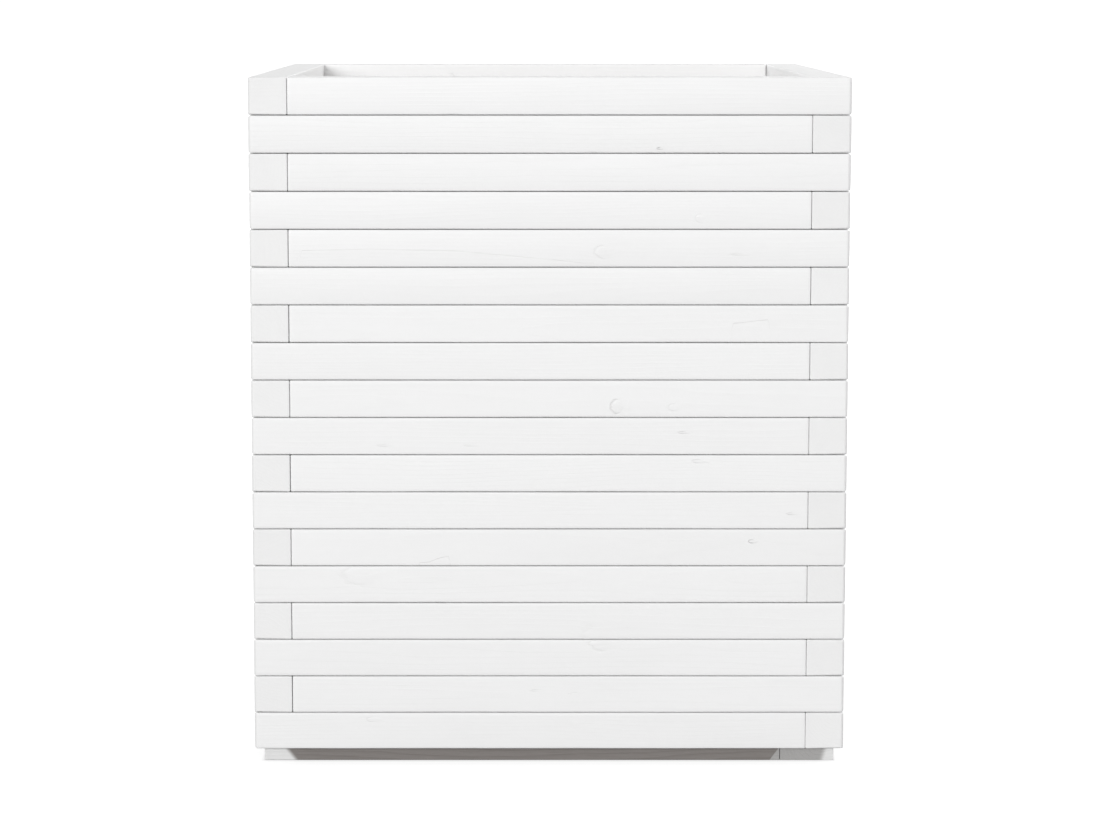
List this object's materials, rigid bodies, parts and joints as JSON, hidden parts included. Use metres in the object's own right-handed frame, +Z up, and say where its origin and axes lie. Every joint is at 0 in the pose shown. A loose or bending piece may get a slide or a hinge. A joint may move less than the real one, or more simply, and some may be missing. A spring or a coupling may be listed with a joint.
{
  "type": "square slatted planter",
  "caption": "Square open-topped planter box of stacked white painted timber slats with alternating corner blocks, on recessed base strips, with a gapped floor inside.",
  "frame": {"origin": "middle of the base, at the height of the ground that the base strips stand on", "axes": "+Z up to the open rim, -Y towards the front wall, +X to the right of someone facing the front wall"},
  "size_m": [0.495, 0.495, 0.575],
  "materials": {
    "painted_wood": "white satin paint brushed over softwood",
    "bare_wood": "bare planed softwood",
    "screw_steel": "zinc-plated steel"
  },
  "bodies": {
    "root": {"front_slat_01": "painted_wood", "front_slat_02": "painted_wood", "front_slat_03": "painted_wood", "front_slat_04": "painted_wood", "front_slat_05": "painted_wood", "front_slat_06": "painted_wood", "front_slat_07": "painted_wood", "front_slat_08": "painted_wood", "front_slat_09": "painted_wood", "front_slat_10": "painted_wood", "front_slat_11": "painted_wood", "front_slat_12": "painted_wood", "front_slat_13": "painted_wood", "front_slat_14": "painted_wood", "front_slat_15": "painted_wood", "front_slat_16": "painted_wood", "front_slat_17": "painted_wood", "front_slat_18": "painted_wood", "back_slat_01": "painted_wood", "back_slat_02": "painted_wood", "back_slat_03": "painted_wood", "back_slat_04": "painted_wood", "back_slat_05": "painted_wood", "back_slat_06": "painted_wood", "back_slat_07": "painted_wood", "back_slat_08": "painted_wood", "back_slat_09": "painted_wood", "back_slat_10": "painted_wood", "back_slat_11": "painted_wood", "back_slat_12": "painted_wood", "back_slat_13": "painted_wood", "back_slat_14": "painted_wood", "back_slat_15": "painted_wood", "back_slat_16": "painted_wood", "back_slat_17": "painted_wood", "back_slat_18": "painted_wood", "side_slats_01": "painted_wood", "side_slats_02": "painted_wood", "side_slats_03": "painted_wood", "side_slats_04": "painted_wood", "side_slats_05": "painted_wood", "side_slats_06": "painted_wood", "side_slats_07": "painted_wood", "side_slats_08": "painted_wood", "side_slats_09": "painted_wood", "side_slats_10": "painted_wood", "side_slats_11": "painted_wood", "side_slats_12": "painted_wood", "side_slats_13": "painted_wood", "side_slats_14": "painted_wood", "side_slats_15": "painted_wood", "side_slats_16": "painted_wood", "side_slats_17": "painted_wood", "side_slats_18": "painted_wood", "corner_dowels": "bare_wood", "base_strips": "painted_wood", "base_screws": "screw_steel", "floor_boards": "bare_wood", "floor_screws": "screw_steel"}
  },
  "joints": []
}
